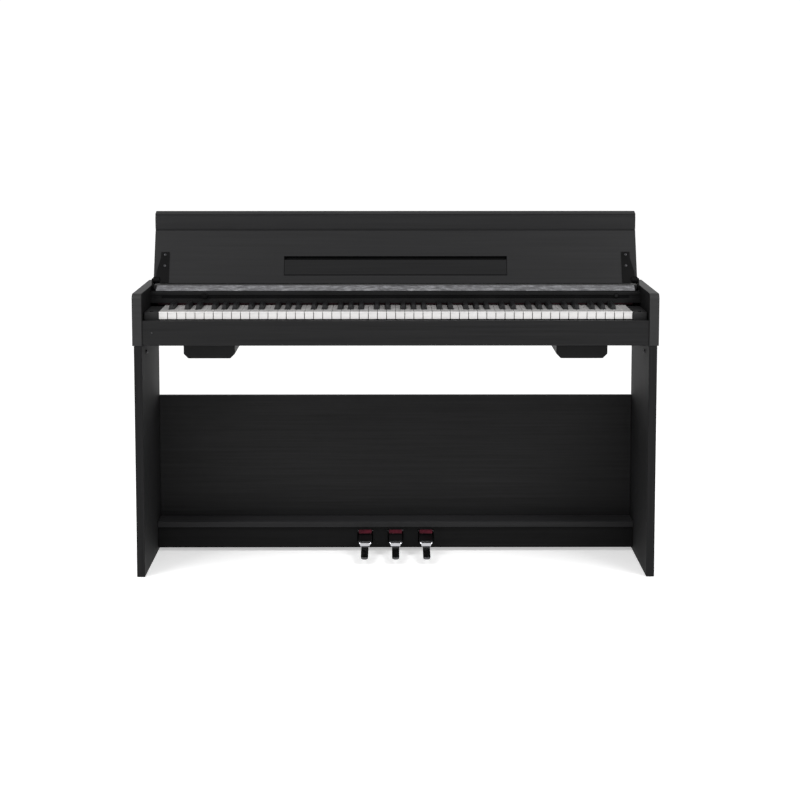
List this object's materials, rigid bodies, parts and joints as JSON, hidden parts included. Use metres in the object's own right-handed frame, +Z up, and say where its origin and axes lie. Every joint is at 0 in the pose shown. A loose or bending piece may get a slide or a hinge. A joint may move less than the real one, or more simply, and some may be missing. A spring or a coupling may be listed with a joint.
{
  "type": "digital piano",
  "caption": "Full-size digital piano on a panel stand with a folding lid, fold-out music ledge, weighted keyboard and three pedals.",
  "frame": {"origin": "on the floor under the middle of the piano", "axes": "+X to the player's right, +Y away from the player, +Z up"},
  "size_m": [1.35, 0.36, 0.9318],
  "materials": {
    "black_board": "satin black foil with a faint wood grain",
    "black_plastic": "fine textured moulding",
    "grille_cloth": "grey speckled speaker cloth",
    "white_key": "satin white",
    "black_key": "matte black",
    "red_felt": "wool felt",
    "chrome": "polished",
    "dark_steel": "black coated steel",
    "circuit_board": "solder mask"
  },
  "bodies": {
    "stand": {"left_leg_panel": "black_board", "right_leg_panel": "black_board", "back_panel": "black_board", "pedal_shelf": "black_board", "pedal_box_front": "black_board", "left_arm": "black_board", "right_arm": "black_board", "key_slip": "black_board", "keybed": "black_board", "top_cover": "black_board", "rear_cover": "black_board", "left_key_block": "black_plastic", "right_key_block": "black_plastic", "fascia_panel": "black_plastic", "left_speaker_box": "black_plastic", "right_speaker_box": "black_plastic", "jack_panel": "black_plastic", "power_inlet": "black_plastic", "key_frame": "black_plastic", "left_leg_bolt": "dark_steel", "right_leg_bolt": "dark_steel", "pedal_bracket": "dark_steel", "left_hinge_plate": "dark_steel", "right_hinge_plate": "dark_steel", "left_speaker_driver": "dark_steel", "right_speaker_driver": "dark_steel", "pedal_pivot_rod": "chrome", "grille_strip": "grille_cloth", "key_felt_strip": "red_felt", "main_circuit_board": "circuit_board"},
    "lid": {"lid_panel": "black_board", "lid_nose": "black_board", "left_hinge_strap": "dark_steel", "right_hinge_strap": "dark_steel"},
    "music_rest": {"music_rest": "black_board"},
    "soft_pedal": {"soft_pedal": "chrome"},
    "sostenuto_pedal": {"sostenuto_pedal": "chrome"},
    "damper_pedal": {"damper_pedal": "chrome"},
    "volume_knob": {"volume_knob": "black_plastic"},
    "power_button": {"power_button": "black_plastic"},
    "key_c4": {"key_c4": "white_key"},
    "key_d4": {"key_d4": "white_key"},
    "key_e4": {"key_e4": "white_key"},
    "key_f4": {"key_f4": "white_key"},
    "key_g4": {"key_g4": "white_key"},
    "key_a4": {"key_a4": "white_key"},
    "key_b4": {"key_b4": "white_key"},
    "white_keys_a0_to_b1": {"white_keys_a0_to_b1": "white_key"},
    "white_keys_c2_to_b3": {"white_keys_c2_to_b3": "white_key"},
    "white_keys_c5_to_b6": {"white_keys_c5_to_b6": "white_key"},
    "white_keys_c7_to_c8": {"white_keys_c7_to_c8": "white_key"},
    "key_c_sharp4": {"key_c_sharp4": "black_key"},
    "key_d_sharp4": {"key_d_sharp4": "black_key"},
    "key_f_sharp4": {"key_f_sharp4": "black_key"},
    "key_g_sharp4": {"key_g_sharp4": "black_key"},
    "key_a_sharp4": {"key_a_sharp4": "black_key"},
    "black_keys_a0_to_b1": {"black_keys_a0_to_b1": "black_key"},
    "black_keys_c2_to_b3": {"black_keys_c2_to_b3": "black_key"},
    "black_keys_c5_to_b6": {"black_keys_c5_to_b6": "black_key"},
    "black_keys_c7_to_c8": {"black_keys_c7_to_c8": "black_key"}
  },
  "joints": [
    {"name": "lid_hinge", "type": "hinge", "parent": "stand", "child": "lid", "pos_m": [0, 0.04, 0.752], "axis": [1, 0, 0], "range_deg": [0, 124]},
    {"name": "music_rest_hinge", "type": "hinge", "parent": "lid", "child": "music_rest", "pos_m": [0, 0.04883, 0.76692], "axis": [-1, 0, 0], "range_deg": [-95, 0]},
    {"name": "soft_pedal_hinge", "type": "hinge", "parent": "stand", "child": "soft_pedal", "pos_m": [-0.083, 0.15, 0.045], "axis": [1, 0, 0], "range_deg": [0, 3.2], "stiffness_Nm_per_rad": 4, "springref_deg": -22.92},
    {"name": "sostenuto_pedal_hinge", "type": "hinge", "parent": "stand", "child": "sostenuto_pedal", "pos_m": [0, 0.15, 0.045], "axis": [1, 0, 0], "range_deg": [0, 3.2], "stiffness_Nm_per_rad": 4, "springref_deg": -22.92},
    {"name": "damper_pedal_hinge", "type": "hinge", "parent": "stand", "child": "damper_pedal", "pos_m": [0.083, 0.15, 0.045], "axis": [1, 0, 0], "range_deg": [0, 3.2], "stiffness_Nm_per_rad": 4, "springref_deg": -22.92},
    {"name": "key_c4_hinge", "type": "hinge", "parent": "stand", "child": "key_c4", "pos_m": [0, 0.11, 0.668], "axis": [1, 0, 0], "range_deg": [0, 2.3], "stiffness_Nm_per_rad": 0.7, "springref_deg": -28.65},
    {"name": "key_d4_hinge", "type": "hinge", "parent": "stand", "child": "key_d4", "pos_m": [0, 0.11, 0.668], "axis": [1, 0, 0], "range_deg": [0, 2.3], "stiffness_Nm_per_rad": 0.7, "springref_deg": -28.65},
    {"name": "key_e4_hinge", "type": "hinge", "parent": "stand", "child": "key_e4", "pos_m": [0, 0.11, 0.668], "axis": [1, 0, 0], "range_deg": [0, 2.3], "stiffness_Nm_per_rad": 0.7, "springref_deg": -28.65},
    {"name": "key_f4_hinge", "type": "hinge", "parent": "stand", "child": "key_f4", "pos_m": [0, 0.11, 0.668], "axis": [1, 0, 0], "range_deg": [0, 2.3], "stiffness_Nm_per_rad": 0.7, "springref_deg": -28.65},
    {"name": "key_g4_hinge", "type": "hinge", "parent": "stand", "child": "key_g4", "pos_m": [0, 0.11, 0.668], "axis": [1, 0, 0], "range_deg": [0, 2.3], "stiffness_Nm_per_rad": 0.7, "springref_deg": -28.65},
    {"name": "key_a4_hinge", "type": "hinge", "parent": "stand", "child": "key_a4", "pos_m": [0, 0.11, 0.668], "axis": [1, 0, 0], "range_deg": [0, 2.3], "stiffness_Nm_per_rad": 0.7, "springref_deg": -28.65},
    {"name": "key_b4_hinge", "type": "hinge", "parent": "stand", "child": "key_b4", "pos_m": [0, 0.11, 0.668], "axis": [1, 0, 0], "range_deg": [0, 2.3], "stiffness_Nm_per_rad": 0.7, "springref_deg": -28.65},
    {"name": "white_keys_a0_to_b1_hinge", "type": "hinge", "parent": "stand", "child": "white_keys_a0_to_b1", "pos_m": [0, 0.11, 0.668], "axis": [1, 0, 0], "range_deg": [0, 2.3], "stiffness_Nm_per_rad": 6.3, "springref_deg": -28.65},
    {"name": "white_keys_c2_to_b3_hinge", "type": "hinge", "parent": "stand", "child": "white_keys_c2_to_b3", "pos_m": [0, 0.11, 0.668], "axis": [1, 0, 0], "range_deg": [0, 2.3], "stiffness_Nm_per_rad": 9.8, "springref_deg": -28.65},
    {"name": "white_keys_c5_to_b6_hinge", "type": "hinge", "parent": "stand", "child": "white_keys_c5_to_b6", "pos_m": [0, 0.11, 0.668], "axis": [1, 0, 0], "range_deg": [0, 2.3], "stiffness_Nm_per_rad": 9.8, "springref_deg": -28.65},
    {"name": "white_keys_c7_to_c8_hinge", "type": "hinge", "parent": "stand", "child": "white_keys_c7_to_c8", "pos_m": [0, 0.11, 0.668], "axis": [1, 0, 0], "range_deg": [0, 2.3], "stiffness_Nm_per_rad": 5.6, "springref_deg": -28.65},
    {"name": "key_c_sharp4_hinge", "type": "hinge", "parent": "stand", "child": "key_c_sharp4", "pos_m": [0, 0.11, 0.668], "axis": [1, 0, 0], "range_deg": [0, 2.3], "stiffness_Nm_per_rad": 0.35, "springref_deg": -28.65},
    {"name": "key_d_sharp4_hinge", "type": "hinge", "parent": "stand", "child": "key_d_sharp4", "pos_m": [0, 0.11, 0.668], "axis": [1, 0, 0], "range_deg": [0, 2.3], "stiffness_Nm_per_rad": 0.35, "springref_deg": -28.65},
    {"name": "key_f_sharp4_hinge", "type": "hinge", "parent": "stand", "child": "key_f_sharp4", "pos_m": [0, 0.11, 0.668], "axis": [1, 0, 0], "range_deg": [0, 2.3], "stiffness_Nm_per_rad": 0.35, "springref_deg": -28.65},
    {"name": "key_g_sharp4_hinge", "type": "hinge", "parent": "stand", "child": "key_g_sharp4", "pos_m": [0, 0.11, 0.668], "axis": [1, 0, 0], "range_deg": [0, 2.3], "stiffness_Nm_per_rad": 0.35, "springref_deg": -28.65},
    {"name": "key_a_sharp4_hinge", "type": "hinge", "parent": "stand", "child": "key_a_sharp4", "pos_m": [0, 0.11, 0.668], "axis": [1, 0, 0], "range_deg": [0, 2.3], "stiffness_Nm_per_rad": 0.35, "springref_deg": -28.65},
    {"name": "black_keys_a0_to_b1_hinge", "type": "hinge", "parent": "stand", "child": "black_keys_a0_to_b1", "pos_m": [0, 0.11, 0.668], "axis": [1, 0, 0], "range_deg": [0, 2.3], "stiffness_Nm_per_rad": 2.1, "springref_deg": -28.65},
    {"name": "black_keys_c2_to_b3_hinge", "type": "hinge", "parent": "stand", "child": "black_keys_c2_to_b3", "pos_m": [0, 0.11, 0.668], "axis": [1, 0, 0], "range_deg": [0, 2.3], "stiffness_Nm_per_rad": 3.5, "springref_deg": -28.65},
    {"name": "black_keys_c5_to_b6_hinge", "type": "hinge", "parent": "stand", "child": "black_keys_c5_to_b6", "pos_m": [0, 0.11, 0.668], "axis": [1, 0, 0], "range_deg": [0, 2.3], "stiffness_Nm_per_rad": 3.5, "springref_deg": -28.65},
    {"name": "black_keys_c7_to_c8_hinge", "type": "hinge", "parent": "stand", "child": "black_keys_c7_to_c8", "pos_m": [0, 0.11, 0.668], "axis": [1, 0, 0], "range_deg": [0, 2.3], "stiffness_Nm_per_rad": 1.75, "springref_deg": -28.65},
    {"name": "volume_knob_turn", "type": "hinge", "parent": "stand", "child": "volume_knob", "pos_m": [-0.506, 0, 0.714], "axis": [0, 1, 0], "range_deg": [-140, 140]},
    {"name": "power_button_press", "type": "slide", "parent": "stand", "child": "power_button", "axis": [0, 1, 0], "range_m": [0, 0.002], "stiffness_N_per_m": 500, "springref_m": -0.002}
  ]
}
